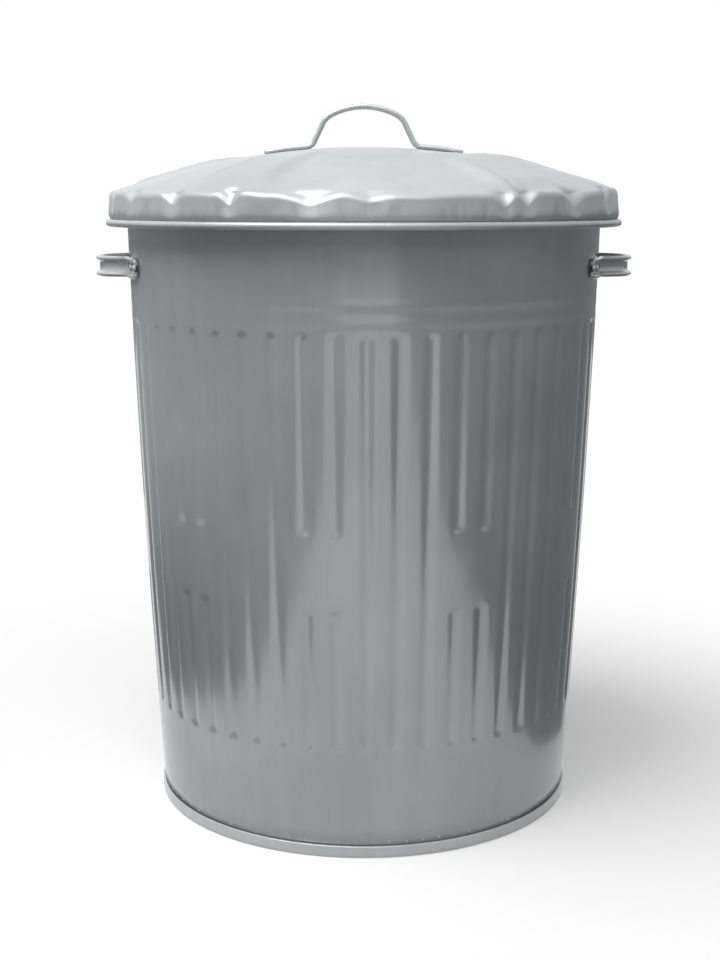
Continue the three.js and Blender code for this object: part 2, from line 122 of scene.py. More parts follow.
class WallSizes(bpy.types.PropertyGroup):
    """Sizes of the bin's fluted wall and its foot."""

    floor_radius: length("Radius at the Floor", "Outside of the wall where it meets the floor", 0.206)
    rim_radius: length("Radius at the Rim", "Outside of the wall under the rolled rim", 0.231)
    bulge: length("Bulge", "How far the tapered wall swells at half its height", 0.0032)
    flute_count: whole_number("Flutes", "Grooves pressed into the wall", 50)
    flute_pitch: turn("Flute Pitch", "Angle from one groove to the next", 7.1)
    flute_width: length("Flute Width", "Width of one groove", 0.0165)
    flute_depth: length("Flute Depth", "Depth of one groove", 0.0017)
    flute_low: length("Flute Bottom", "Height of the grooves' lower ends", 0.101)
    flute_high: length("Flute Top", "Height of the grooves' upper ends", 0.485)
    runout: length("Run-out", "Length over which a groove's end comes up", 0.009)
    plain_low: length("Plain Patch Bottom", "Lower edge of the patch where some grooves stop", 0.239)
    plain_high: length("Plain Patch Top", "Upper edge of the patch where some grooves stop", 0.302)
    flute_group: whole_number("Flute Group", "Grooves in one repeat of the pattern", 5)
    flutes_through: whole_number("Flutes Through", "Grooves of each group that run on through the patch", 3)
    swage_low: length("Lower Swage", "Height of the lower ring groove", 0.492)
    swage_high: length("Upper Swage", "Height of the upper ring groove", 0.507)
    swage_width: length("Swage Width", "Width of each ring groove", 0.014)
    swage_depth: length("Swage Depth", "Depth of each ring groove", 0.00022)
    seam_angle: turn("Seam Angle", "Where the lock seam is, from +X", 87)
    seam_width: length("Seam Width", "Width of the lock seam", 0.009)
    seam_height: length("Seam Height", "How far the lock seam stands out", 0.001)
    unevenness: length("Unevenness", "How far the hand-fed sheet wanders from its true shape", 0.0005)


class LidSizes(bpy.types.PropertyGroup):
    """Sizes of the pressed lid."""

    dome_radius: length("Dome Radius", "Radius of the sphere that the dome is part of", 0.675)
    dome_top: length("Dome Top", "Height of the dome's outside at its middle", 0.6453)
    shoulder_radius: length("Shoulder Radius", "Outside of the skirt under the shoulder", 0.2466)
    shoulder_round: length("Shoulder Rounding", "Radius of the bend from the dome into the skirt", 0.0062)
    shoulder_height: length("Shoulder Height", "Height of the middle of that bend", 0.5948)
    rim_radius: length("Rim Radius", "Outside of the bin's rim, on which the lid rests", 0.2374)
    wrinkle_depth: length("Wrinkle Depth", "Depth of the deepest fold in the shoulder", 0.0095)
    arm_count: whole_number("Flats", "Raised radial flats pressed into the dome", 5)
    arm_width: turn("Flat Width", "Angle from a flat's wide slope to its short one", 21)
    arm_angle: turn("First Flat", "Wide slope of the first flat, from +X", -133)
    arm_slope: turn("Wide Slope", "Half the angle that a flat's wide slope spans", 3.1)
    arm_height: length("Flat Height", "How far the flats stand above the dome", 0.0054)
    crease_depth: length("Crease Depth", "Depth of the crease beside each wide slope", 0.0015)


class StrapSizes(bpy.types.PropertyGroup):
    """Sizes of the pressed strap that all three handles are bent from."""

    width: length("Width", "Width of the strap", 0.020)
    sheet: length("Sheet", "Thickness of the strap's web", 0.0012)
    bead: length("Bead", "Thickness of the rolled edges", 0.0048)
    reach: length("Reach", "Middle of the strap to the end of its tab", 0.097)
    arch_radius: length("Arch Radius", "Radius of the grip's long arc", 0.067)
    arch_angle: turn("Arch Angle", "Angle of half that arc", 27)
    shoulder_radius: length("Shoulder Radius", "Radius of the bend from the grip into the leg", 0.017)
    leg_angle: turn("Leg Angle", "Slope of the leg", 64)
    foot_radius: length("Foot Radius", "Radius of the bend from the leg into the tab", 0.012)
    side_rise: length("Side Rise", "Finger gap of the side handles", 0.029)
    lid_rise: length("Lid Rise", "Finger gap of the lid's handle", 0.036)
    rivet_inset: length("Rivet Inset", "End of the tab to its outer rivet", 0.008)
    rivet_spacing: length("Rivet Spacing", "Distance between a tab's two rivets", 0.015)
    rivet_radius: length("Rivet Head", "Radius of a rivet's head", 0.0036)
    rivet_height: length("Rivet Height", "Height of a rivet's head", 0.0021)


class Finishes(bpy.types.PropertyGroup):
    """Colours of the painted and bare steel."""

    wall: colour("Wall Paint", "Semi-gloss grey paint of the wall", 172, 177, 180)
    lid: colour("Lid Paint", "Satin grey paint of the lid", 172, 177, 180)
    # painted light: the band and base are painted lighter than the wall so that the band, shaded beside the
    # floor, looks as light as the wall
    foot: colour("Foot Paint", "Lighter grey of the band round the foot", 198, 203, 205)
    # partly painted light: a little lighter than the lid paint, to soften the shade on the tabs' bead sides
    strap: colour("Strap Paint", "Grey paint of the handles", 180, 186, 185)
    zinc: colour("Zinc", "Bare zinc where the paint has rubbed off", 186, 190, 192)
    # dust near the foot, and also the painted shade in the lid skirt's pleats
    grime_and_pleat_shade: colour("Grime", "Dust and dirt that settle in corners", 96, 97, 92)
    wire: colour("Wire", "Drawn wire inside the rolled edges", 140, 143, 145)


class StudioSizes(bpy.types.PropertyGroup):
    """The camera and the floor."""

    camera_place: FloatVectorProperty(
        name="Camera",
        description="Where the camera stands",
        subtype="TRANSLATION",
        default=(-0.0037, -1.505, 0.5968),
    )
    camera_tilt: turn("Camera Tilt", "How far the camera looks down", 10.617)
    lens: FloatProperty(name="Lens", description="Focal length for a 36 mm long side", default=56.44)
    floor_size: length("Floor", "Side of the square floor", 12)
    floor_colour: colour("Floor", "Pale paper floor", 244, 244, 243)


# --------------------------------------------------------------- arithmetic in node trees


class Number:
    """A value in a node tree, on which Python's arithmetic makes Math nodes."""

    def __init__(self, socket):
        self.tree = socket.id_data
        self.socket = socket

    def math(self, operation, *others):
        node = self.tree.nodes.new("ShaderNodeMath")
        node.operation = operation
        for slot, value in zip(node.inputs, (self, *others)):
            plug(value, slot)
        return Number(node.outputs[0])

    def __add__(self, other):
        return self.math("ADD", other)

    def __sub__(self, other):
        return self.math("SUBTRACT", other)

    def __mul__(self, other):
        return self.math("MULTIPLY", other)

    def __truediv__(self, other):
        return self.math("DIVIDE", other)

    def ease(self, low, high, to_low=0.0, to_high=1.0):
        """to_low below low, to_high above high, and a smooth change between them."""
        node = self.tree.nodes.new("ShaderNodeMapRange")
        node.interpolation_type = "SMOOTHSTEP"
        ends = {"Value": self, "From Min": low, "From Max": high, "To Min": to_low, "To Max": to_high}
        for name, value in ends.items():
            plug(value, node.inputs[name])
        return Number(node.outputs["Result"])

    def dip(self, middle, width):
        """1 in the middle of a round-bottomed groove of this width, 0 outside it."""
        off = (self - middle).math("ABSOLUTE") / width * 2.0
        return (off.math("MINIMUM", 1.0) * math.pi).math("COSINE") * 0.5 + 0.5


def plug(value, slot):
    """Links a Number, a socket or a node's first output to an input, or writes a plain value."""
    if isinstance(value, Number):
        value = value.socket
    elif isinstance(value, bpy.types.Node):
        value = value.outputs[0]
    if isinstance(value, bpy.types.NodeSocket):
        slot.id_data.links.new(value, slot)
    else:
        slot.default_value = value


def node_with(tree, kind, **inputs):
    """A new node with its inputs set by name, where an underscore stands for a space."""
    node = tree.nodes.new(kind)
    for name, value in inputs.items():
        plug(value, node.inputs[name.replace("_", " ")])
    return node


class ShapeTree:
    """A Geometry Nodes tree whose named inputs are set on the modifier that runs it."""

    KINDS = {float: "NodeSocketFloat", int: "NodeSocketInt"}

    def __init__(self, name):
        self.tree = bpy.data.node_groups.new(name, "GeometryNodeTree")
        for way in ("OUTPUT", "INPUT"):
            self.tree.interface.new_socket("Geometry", in_out=way, socket_type="NodeSocketGeometry")
        self.source = self.tree.nodes.new("NodeGroupInput")
        self.values = {}

    def input(self, name, value, kind=None):
        """A named input. Its value is written on the modifier before the tree first runs."""
        kind = kind or self.KINDS[type(value)]
        item = self.tree.interface.new_socket(name, in_out="INPUT", socket_type=kind)
        self.values[item.identifier] = value
        return Number(next(s for s in self.source.outputs if s.identifier == item.identifier))

    def inputs_from(self, group, *names):
        """One input for each named property of a group, called what the property is called."""
        labels = group.bl_rna.properties
        return [self.input(labels[name].name, getattr(group, name)) for name in names]

    def node(self, kind, **inputs):
        return node_with(self.tree, kind, **inputs)

    def vector(self, x, y, z):
        return self.node("ShaderNodeCombineXYZ", X=x, Y=y, Z=z)

    def parts(self, vector):
        """X, Y and Z of a vector."""
        return [Number(socket) for socket in self.node("ShaderNodeSeparateXYZ", Vector=vector).outputs]

    def attribute(self, name, kind):
        """A named attribute of each point."""
        node = self.node("GeometryNodeInputNamedAttribute", Name=name)
        node.data_type = kind
        return node

    def finish(self, geometry, material):
        """Ends the tree in Realize Instances, smooth shading and Set Material."""
        coat = self.input("Material", material, "NodeSocketMaterial")
        real = self.node("GeometryNodeRealizeInstances", Geometry=geometry)
        smooth = self.node("GeometryNodeSetShadeSmooth", Geometry=real)
        painted = self.node("GeometryNodeSetMaterial", Geometry=smooth, Material=coat)
        self.node("NodeGroupOutput", Geometry=painted)

    def run(self, obj):
        """Runs the tree on an object and leaves the result on it as a plain mesh."""
        modifier = obj.modifiers.new("Shape", "NODES")
        modifier.node_group = self.tree
        for identifier, value in self.values.items():
            modifier[identifier] = value
        graph = bpy.context.evaluated_depsgraph_get()
        made = bpy.data.meshes.new_from_object(obj.evaluated_get(graph), depsgraph=graph)
        obj.modifiers.remove(modifier)
        obj.data = made
        return obj


# ------------------------------------------------------------------------- mesh helpers


def added(name, data):
    """A new object of the scene that holds this data."""
    obj = bpy.data.objects.new(name, data)
    bpy.context.scene.collection.objects.link(obj)
    return obj


def new_object(name, vertices, faces=(), edges=()):
    """A new object of the scene with this mesh."""
    mesh = bpy.data.meshes.new(name)
    mesh.from_pydata([tuple(v) for v in vertices], list(edges), [tuple(f) for f in faces])
    return added(name, mesh)


def skin(name, rows, material, looped=True, wear=None):
    """A smooth closed skin over rows of points. A row of one point is a pole, and each other
    row runs round the axis. A looped skin joins its last row to its first. Wear is given from
    0 to 1 for each point."""
    starts = np.cumsum([0] + [len(row) for row in rows])
    faces = []
    pairs = list(zip(range(len(rows)), range(1, len(rows))))
    if looped:
        pairs.append((len(rows) - 1, 0))
    for first, second in pairs:
        width, next_width = len(rows[first]), len(rows[second])
        here = np.arange(max(width, next_width))
        after = (here + 1) % len(here)
        a, a_after = starts[first] + here % width, starts[first] + after % width
        b, b_after = starts[second] + here % next_width, starts[second] + after % next_width
        if width == 1:
            corners = (a, b_after, b)
        elif next_width == 1:
            corners = (a, a_after, b)
        else:
            corners = (a, a_after, b_after, b)
        faces += np.stack(corners, 1).tolist()
    obj = new_object(name, np.concatenate(rows), faces)
    obj.data.materials.append(material)
    obj.data.polygons.foreach_set("use_smooth", [True] * len(obj.data.polygons))
    if wear is not None:
        attribute = obj.data.attributes.new("wear", "FLOAT", "POINT")
        attribute.data.foreach_set("value", np.asarray(wear, np.float32))
    return obj


def arc(centre, radius, start, end, steps):
    """Points of an arc in the plane, with angles in radians."""
    angles = np.linspace(start, end, steps + 1)
    return np.stack([centre[0] + radius * np.cos(angles), centre[1] + radius * np.sin(angles)], 1)


def spun(profile, columns):
    """Rows round the axis through each (radius, height) of a profile."""
    angles = np.arange(columns) * 2 * math.pi / columns
    circle = np.stack([np.cos(angles), np.sin(angles)], 1)
    rows = []
    for radius, height in profile:
        if radius == 0:
            rows.append(np.array([[0, 0, height]]))
        else:
            rows.append(np.column_stack([circle * radius, np.full(columns, height)]))
    return rows


def smooth_step(value, low, high):
    """0 below low, 1 above high, and a smooth rise between them."""
    share = np.clip((np.asarray(value, float) - low) / (high - low), 0, 1)
    return share * share * (3 - 2 * share)


def placed(obj, body, slot, *nodes):
    """Makes a finished piece ride on its body and stand for its nodes."""
    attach(obj, body)
    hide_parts(*nodes)
    return obj


# ------------------------------------------------------------------------------ finishes


class Finish:
    """A material and its Principled shader, with short ways to its textures."""

    def __init__(self, name):
        self.material = bpy.data.materials.new(name)
        self.material.use_nodes = True
        self.tree = self.material.node_tree
        self.shader = self.tree.nodes["Principled BSDF"]
        self.coordinates = self.tree.nodes.new("ShaderNodeTexCoord").outputs["Object"]

    def set(self, **inputs):
        for name, value in inputs.items():
            plug(value, self.shader.inputs[name.replace("_", " ")])

    def noise(self, scale, detail=2.0, roughness=0.5, stretch=(1, 1, 1)):
        """Soft noise from 0 to 1. A stretch above 1 along an axis draws it out that way."""
        mapping = node_with(self.tree, "ShaderNodeMapping", Vector=self.coordinates)
        mapping.inputs["Scale"].default_value = [1 / share for share in stretch]
        node = node_with(
            self.tree, "ShaderNodeTexNoise", Vector=mapping, Scale=scale, Detail=detail, Roughness=roughness
        )
        return Number(node.outputs["Fac"])

    def height(self):
        return Number(node_with(self.tree, "ShaderNodeSeparateXYZ", Vector=self.coordinates).outputs["Z"])

    def distance(self):
        """Distance from the middle of the foot."""
        away = node_with(self.tree, "ShaderNodeVectorMath", Vector=self.coordinates)
        away.operation = "LENGTH"
        return Number(away.outputs["Value"])

    def wear(self):
        node = self.tree.nodes.new("ShaderNodeAttribute")
        node.attribute_name = "wear"
        return Number(node.outputs["Fac"])

    def mix(self, share, first, second):
        node = self.tree.nodes.new("ShaderNodeMix")
        node.data_type = "RGBA"
        plug(share, node.inputs[0])
        plug(first, node.inputs[6])
        plug(second, node.inputs[7])
        return node.outputs[2]

    def bump(self, *layers):
        """Stacks bumps, each given as (height, distance, strength)."""
        normal = None
        for height, distance, strength in layers:
            node = node_with(self.tree, "ShaderNodeBump", Height=height, Distance=distance, Strength=strength)
            if normal is not None:
                plug(normal, node.inputs["Normal"])
            normal = node
        plug(normal, self.shader.inputs["Normal"])


def tinted(shade, share):
    """A colour made darker or lighter by a share."""
    return tuple(min(channel * share, 1) for channel in shade[:3]) + (1,)


def painted_steel(
    name, paint, grime_height=0.0, unevenness=0.12, roughness=0.18, coat=0.25, pleated=None
):
    """Semi-gloss grey paint over zinc, with soft blotches, faint drag marks from the rolls,
    a fine orange peel and bare zinc on worn edges. Dust gathers below grime_height, and fine
    upright pleats run between the two heights in pleated, darkened with painted shade."""
    finishes = bpy.context.scene.steel_bin_finish
    finish = Finish(name)
    blotch = finish.noise(7.0, 3.0)
    drag = finish.noise(60.0, 3.0, 0.6, (1, 1, 14))
    speck = finish.noise(420.0, 2.0, 0.6)
    patches = (blotch * 0.75 + drag * 0.25).ease(0.34, 0.66)
    tone = finish.mix(patches, tinted(paint, 0.91), tinted(paint, 1.07))
    rubbed = (finish.wear() + speck * 0.4 - 0.7).ease(0.15, 0.4)
    tone = finish.mix(rubbed * 0.7, tone, finishes.zinc)
    peel = finish.noise(240.0, 1.0)
    bumps = [(peel, 0.0004, 0.05), (drag, 0.0006, 0.05), (blotch, 0.004, unevenness)]
    if grime_height:
        settled = finish.height().ease(0.0, grime_height, 1.0, 0.0) * blotch.ease(0.35, 0.7)
        tone = finish.mix(settled * 0.3, tone, finishes.grime_and_pleat_shade)
    if pleated:
        low, high = pleated
        fade_in = finish.height().ease(low, low + 0.004)
        fade_out = finish.height().ease(high - 0.012, high, 1.0, 0.0)
        pleats = finish.noise(75.0, 2.0, 0.5, (1, 1, 5)).ease(0.42, 0.74) * fade_in * fade_out
        # painted shade: the pleats are darkened a little with the grime colour, standing in for shade in
        # their hollows
        tone = finish.mix(pleats * 0.15, tone, finishes.grime_and_pleat_shade)
        bumps.append((pleats * -1.0, 0.0016, 0.35))
    finish.set(
        Base_Color=tone,
        Metallic=0.3,
        Roughness=blotch.ease(0.3, 0.7, roughness, roughness + 0.06) + speck * 0.02,
        Coat_Weight=coat,
        Coat_Roughness=0.06,
    )
    finish.bump(*bumps)
    return finish.material


def zinc_plate(name, tone):
    """Plated steel of the rivets and the wires: brighter, with a fine brushed grain."""
    finish = Finish(name)
    cloud = finish.noise(160.0, 3.0)
    grain = finish.noise(900.0, 2.0, 0.6, (1, 1, 6))
    finish.set(
        Base_Color=finish.mix(cloud.ease(0.35, 0.65), tinted(tone, 0.7), tuple(tone)),
        Metallic=0.85,
        Roughness=cloud.ease(0.3, 0.7, 0.3, 0.5),
    )
    finish.bump((grain, 0.0002, 0.2), (cloud, 0.0005, 0.15))
    return finish.material


# ------------------------------------------------------------------------------ the wall


def wall_radius(sizes, height):
    """Outside of the wall at a height, before its grooves are pressed in."""
    share = height / SHELL_HIGH.z
    straight = sizes.floor_radius + (sizes.rim_radius - sizes.floor_radius) * share
    return straight + sizes.bulge * 4 * share * (1 - share)


def wall_levels(sizes):
    """Heights of the wall's rows: close together where something is pressed in."""
    swage_edge = sizes.swage_width / 2
    wide, fine = 0.025, 0.0016
    stops = [
        (SHELL_LOW.z, wide),
        (sizes.flute_low, fine),
        (sizes.flute_low + sizes.runout, wide),
        (sizes.plain_low - sizes.runout, fine),
        (sizes.plain_low, wide),
        (sizes.plain_high, fine),
        (sizes.plain_high + sizes.runout, wide),
        (sizes.flute_high - sizes.runout, fine),
        (sizes.swage_high + swage_edge, wide),
        (SHELL_HIGH.z - 4 * WIRE_RADIUS, wide),
    ]
    levels = []
    for (low, step), (high, _) in zip(stops, stops[1:]):
        levels += list(np.linspace(low, high, max(2, round((high - low) / step)), endpoint=False))
    return [*levels, stops[-1][0]]


def wall_section(sizes):
    """(radius, height, seam share) round the sheet: up its outside, round the rolled rim and back,
    and down its inside."""
    levels = wall_levels(sizes)
    inside = WIRE_RADIUS + CLEARANCE
    outside = inside + SHEET
    centre = (sizes.rim_radius + inside, SHELL_HIGH.z - outside)
    out = [(wall_radius(sizes, z), z, 1) for z in levels]
    roll = [(r, z, 0) for r, z in arc(centre, inside, math.pi, math.pi - ROLL_TURN, ROLL_STEPS)]
    back = [(r, z, 0) for r, z in arc(centre, outside, math.pi - ROLL_TURN, math.pi, ROLL_STEPS)]
    down = [(wall_radius(sizes, z) - SHEET, z, 0) for z in reversed(levels)]
    return out + roll + back + down


def fluted_wall_tree(sizes, material, steps_per_flute=10, seam_steps=6):
    """The wall as a rule: a sheet of columns round the axis and rows along the section, into
    which the grooves, the plain patches, the ring grooves and the seam are pressed. Its
    columns start and end at the seam."""
    shape = ShapeTree("Fluted Wall")
    section = shape.source.outputs["Geometry"]
    flutes, pitch, width, depth, low, high, runout = shape.inputs_from(
        sizes, "flute_count", "flute_pitch", "flute_width", "flute_depth", "flute_low", "flute_high", "runout"
    )
    plain_low, plain_high, group, through = shape.inputs_from(
        sizes, "plain_low", "plain_high", "flute_group", "flutes_through"
    )
    swage_low, swage_high, swage_width, swage_depth = shape.inputs_from(
        sizes, "swage_low", "swage_high", "swage_width", "swage_depth"
    )
    seam_angle, seam_width, seam_height, unevenness, rim_radius = shape.inputs_from(
        sizes, "seam_angle", "seam_width", "seam_height", "unevenness", "rim_radius"
    )
    rim_top = shape.input("Rim Top", SHELL_HIGH.z)

    rows = Number(shape.node("GeometryNodeAttributeDomainSize", Geometry=section).outputs["Point Count"])
    fluted = flutes * float(steps_per_flute)
    grid = shape.node("GeometryNodeMeshGrid", Vertices_X=fluted + float(seam_steps + 1), Vertices_Y=rows)
    index = Number(shape.node("GeometryNodeInputIndex").outputs["Index"])
    column = (index / rows + 1e-4).math("FLOOR")
    row = index - column * rows

    def sampled(kind, value):
        """A value of the section at this row."""
        node = shape.tree.nodes.new("GeometryNodeSampleIndex")
        node.data_type = kind
        for name, source in (("Geometry", section), ("Value", value), ("Index", row)):
            plug(source, node.inputs[name])
        return node.outputs["Value"]

    radius, _, height = shape.parts(sampled("FLOAT_VECTOR", shape.node("GeometryNodeInputPosition")))
    seam_share = Number(sampled("FLOAT", shape.attribute("seam", "FLOAT")))

    seam_gap = pitch * flutes * -1.0 + 2 * math.pi
    along = column.math("MINIMUM", fluted) / float(steps_per_flute)
    past = (column - fluted).math("MAXIMUM", 0.0) / float(seam_steps)
    angle = seam_angle + seam_gap * 0.5 + along * pitch + past * seam_gap
    from_seam = (angle - seam_angle - math.pi).math("ABSOLUTE") * -1.0 + math.pi

    number = (along + 1e-4).math("FLOOR")
    across = (along - number - 0.5) * pitch * rim_radius
    groove = across.dip(0.0, width) * from_seam.ease(seam_gap * 0.3, seam_gap * 0.5)
    stopped = (number - (number / group).math("FLOOR") * group).math("GREATER_THAN", through - 0.5)
    over_patch = height.ease(plain_low - runout, plain_low)
    patch = over_patch * height.ease(plain_high, plain_high + runout, 1.0, 0.0)
    ends = height.ease(low, low + runout) * height.ease(high - runout, high, 1.0, 0.0)
    pressed = groove * ends * (stopped * patch * -1.0 + 1.0) * depth
    swaged = (height.dip(swage_low, swage_width) + height.dip(swage_high, swage_width)) * swage_depth
    seam_turn = seam_width / rim_radius
    seam = from_seam.ease(seam_turn * 0.42, seam_turn * 0.58, 1.0, 0.0)
    raised = seam * seam_share * seam_height

    east, north = angle.math("COSINE"), angle.math("SINE")
    direction = shape.vector(east, north, height * 2.2)
    wander = shape.node("ShaderNodeTexNoise", Vector=direction, Scale=2.6, Detail=2.0)
    below_rim = height.ease(rim_top - 0.04, rim_top - 0.012, 1.0, 0.0) * height.ease(0.01, 0.05)
    uneven = (Number(wander.outputs["Fac"]) - 0.5) * 2.0 * unevenness * below_rim

    reach = radius - pressed - swaged + raised + uneven
    spot = shape.vector(reach * east, reach * north, height)
    moved = shape.node("GeometryNodeSetPosition", Geometry=grid, Position=spot)
    rubbed = height.ease(rim_top - 0.006, rim_top) + groove * ends * 0.15 + seam * seam_share * 0.5
    marked = shape.tree.nodes.new("GeometryNodeStoreNamedAttribute")
    marked.data_type = "FLOAT"
    marked.domain = "POINT"
    for name, value in (("Geometry", moved), ("Name", "wear"), ("Value", rubbed)):
        plug(value, marked.inputs[name])
    joined = shape.node("GeometryNodeMergeByDistance", Geometry=marked, Distance=1e-5)
    shape.finish(joined, material)
    return shape


# ------------------------------------------------------------------------------- the lid

# Folds in the front of the lid's shoulder: degrees from the front towards +X, share of the
# full depth, and half the fold's width in metres.
FRONT_FOLDS = (
    (-73, 0.5, 0.008),
    (-59, 0.55, 0.009),
    (-42.6, 0.9, 0.008),
    (-27.6, 0.9, 0.006),
    (-10.5, 0.75, 0.015),
    (1, 0.5, 0.012),
    (29, 1.0, 0.0075),
    (34.5, 1.0, 0.007),
    (48.7, 1.0, 0.010),
    (65, 0.9, 0.008),
    (80, 0.6, 0.010),
)
FOLD_SPACING = 14.5              # degrees between the folds round the rest of the lid
FOLD_STRAY = 3.5                 # degrees that such a fold may lie off its even place
FOLD_RADII = (0.231, 0.2478)     # where the folds begin on the dome, and where they are deepest
FOLD_PINCH = 0.0016              # how far a fold draws the shoulder and the skirt in
BEAD_JOINT = 47                  # where the rolled edge meets: degrees from the front towards +X
BEAD_JOINT_WIDTH = 0.0022

# Where the pressed crown stands above its true dome: degrees from the front towards +X, half
# the angle that the rise spans, its height at the shoulder, and its height further in.
CROWN_RISES = (
    (-88, 52, 0.003, 0.0008),
    (86, 46, 0.006, 0.005),
    (180, 60, 0.0025, 0.001),
)


def lid_folds():
    """All folds round the shoulder as (angle from +X, share of the full depth, half width)."""
    random = np.random.default_rng(11)
    folds = [(math.radians(angle - 90), depth, half) for angle, depth, half in FRONT_FOLDS]
    first, last = FRONT_FOLDS[-1][0], FRONT_FOLDS[0][0] + 360
    count = round((last - first) / FOLD_SPACING)
    for step in range(1, count):
        angle = first + (last - first) * step / count + random.uniform(-FOLD_STRAY, FOLD_STRAY)
        folds.append((math.radians(angle - 90), random.uniform(0.4, 1.0), random.uniform(0.007, 0.014)))
    return folds


def wrapped(angle):
    """An angle brought to between minus and plus half a turn."""
    return (angle + math.pi) % (2 * math.pi) - math.pi


def bump_at(distance, width):
    """A soft round bump: 1 at no distance, and next to nothing beyond twice its width."""
    return np.exp(-((distance / width) ** 2))


def fold_depth(angles, radius):
    """Depth of the folds at each angle, as a share of the full depth."""
    depth = np.zeros_like(angles)
    for middle, share, half in lid_folds():
        off = np.abs(wrapped(angles - middle)) * radius / half
        profile = np.clip(1.12 - off * 0.56, 0, 1) ** 1.4
        depth = np.maximum(depth, share * profile)
    sag = 0.06 * np.sin(angles * 9 + 1.1) + 0.05 * np.sin(angles * 17 + 0.4)
    return np.clip(depth + sag, -0.1, 1)


def arm_rise(sizes, straps, angles, radius):
    """Height of the raised flats: a wide slope, a crease, a level top and a short slope. Those
    beside a tab of the handle start beyond it. All sink towards the shoulder."""
    rise = np.zeros_like(angles)
    for index in range(sizes.arm_count):
        edge = sizes.arm_angle + index * 2 * math.pi / sizes.arm_count
        beside_tab = abs(math.sin(edge + sizes.arm_width / 2)) < 0.5
        start, ramp = (straps.reach + 0.003, 0.06) if beside_tab else (0.07, 0.1)
        off = wrapped(angles - edge)
        top = smooth_step(off, -sizes.arm_slope, sizes.arm_slope)
        top = top - smooth_step(off, sizes.arm_width - 0.05, sizes.arm_width + 0.05)
        rise += top * smooth_step(radius, start, start + ramp) * sizes.arm_height
        crease = bump_at((off - sizes.arm_slope * 1.5) * radius, 0.0021)
        rise -= crease * smooth_step(radius, 0.09, 0.14) * sizes.crease_depth
    return rise * (1 - 0.65 * smooth_step(radius, 0.215, 0.241))


def crown_rise(angles, radius):
    """How far the crown stands above its true dome."""
    rise = np.zeros_like(angles)
    for middle, half, at_shoulder, further_in in CROWN_RISES:
        off = np.abs(wrapped(angles - math.radians(middle - 90)))
        share = 1 - smooth_step(off, math.radians(half) * 0.35, math.radians(half))
        outside = smooth_step(radius, 0.19, 0.236)
        inside = smooth_step(radius, 0.096, 0.128)
        rise += share * (at_shoulder * outside + further_in * inside * (1 - outside))
    return rise


def lid_section(sizes):
    """(radius, height, lift share, fold share) down the outside of the lid: dome, shoulder, skirt,
    neck and the edge rolled out round its wire."""
    inside = WIRE_RADIUS + CLEARANCE
    wire = (LID_WIRE_HIGH.x - WIRE_RADIUS, (LID_WIRE_LOW.z + LID_WIRE_HIGH.z) / 2)
    outer, high = sizes.shoulder_radius, sizes.shoulder_height
    bend = (outer - sizes.shoulder_round, high)
    dome_centre = sizes.dome_top - sizes.dome_radius
    radii = np.concatenate([
        [0],
        np.linspace(0.004, 0.2, 28, endpoint=False),
        np.linspace(0.2, sizes.rim_radius, 14, endpoint=False),
        np.linspace(sizes.rim_radius, bend[0] - 0.0004, 6),
    ])
    dome = [(r, dome_centre + math.sqrt(sizes.dome_radius**2 - r**2)) for r in radii]
    shoulder = arc(bend, sizes.shoulder_round, math.radians(75), 0, 9)
    foot = wire[1] + 0.0038
    skirt = [
        (outer + 0.0004, high - 0.004),
        (outer + 0.0009, high - 0.008),
        (outer + 0.0013, foot + 0.0055),
        (outer + 0.0011, foot + 0.0028),
        (outer + 0.0003, foot + 0.0008),
        (outer - 0.0009, foot - 0.0006),
        (wire[0] - inside, foot - 0.0018),
    ]
    roll = arc(wire, inside, math.pi, math.pi + ROLL_TURN, ROLL_STEPS)
    section = []
    for radius, height in [*dome, *shoulder, *skirt, *roll]:
        lift = min(max((height - foot) / (high + 0.004 - foot), 0), 1)
        fold = float(smooth_step(radius, *FOLD_RADII)) / 0.99
        section.append((radius, height, lift, lift * fold))
    return section


def lid_rows(sizes, straps, columns=480):
    """Rows of the lid's outer face and of its inner face, its section, and the folds' depth."""
    angles = np.arange(columns) * 2 * math.pi / columns
    random = np.random.default_rng(5)
    phases = random.uniform(0, 2 * math.pi, 6)
    waver = sum(np.sin(angles * (2 + k) + phases[k]) / (1 + k) for k in range(6))
    folds = fold_depth(angles, sizes.shoulder_radius)
    from_joint = wrapped(angles - math.radians(BEAD_JOINT - 90)) * sizes.shoulder_radius
    joint = bump_at(from_joint, BEAD_JOINT_WIDTH)
    section = lid_section(sizes)
    roll_start = len(section) - ROLL_STEPS - 1
    grid = np.zeros((len(section), columns, 3))
    for index, (radius, height, lift, fold) in enumerate(section):
        reach = np.full(columns, radius)
        level = height - folds * fold * sizes.wrinkle_depth
        if index < roll_start:
            level += (crown_rise(angles, radius) + arm_rise(sizes, straps, angles, radius)) * lift
            level += 0.0004 * waver * smooth_step(radius, 0.1, 0.2) * lift
            if radius > sizes.rim_radius:
                reach -= folds * fold * FOLD_PINCH
                reach += 0.0004 * np.sin(angles * 23 + 0.7) * fold
        else:
            turned = (index - roll_start) / ROLL_STEPS
            reach -= joint * 0.0009 * smooth_step(turned, 0.1, 0.5)
            level += joint * 0.0006 * smooth_step(turned, 0.3, 0.7)
        grid[index] = np.stack([reach * np.cos(angles), reach * np.sin(angles), level], 1)
    grid[0] = (0, 0, section[0][1])
    along = np.gradient(grid, axis=0)
    around = np.roll(grid, -1, axis=1) - np.roll(grid, 1, axis=1)
    normals = np.cross(along, around)
    normals[0] = (0, 0, 1)
    normals /= np.linalg.norm(normals, axis=2, keepdims=True)
    back = grid - normals * SHEET
    outer = [grid[0][:1], *grid[1:]]
    inner = [back[0][:1], *back[1:]]
    return outer, inner, section, folds


# ----------------------------------------------------------------------------- operators


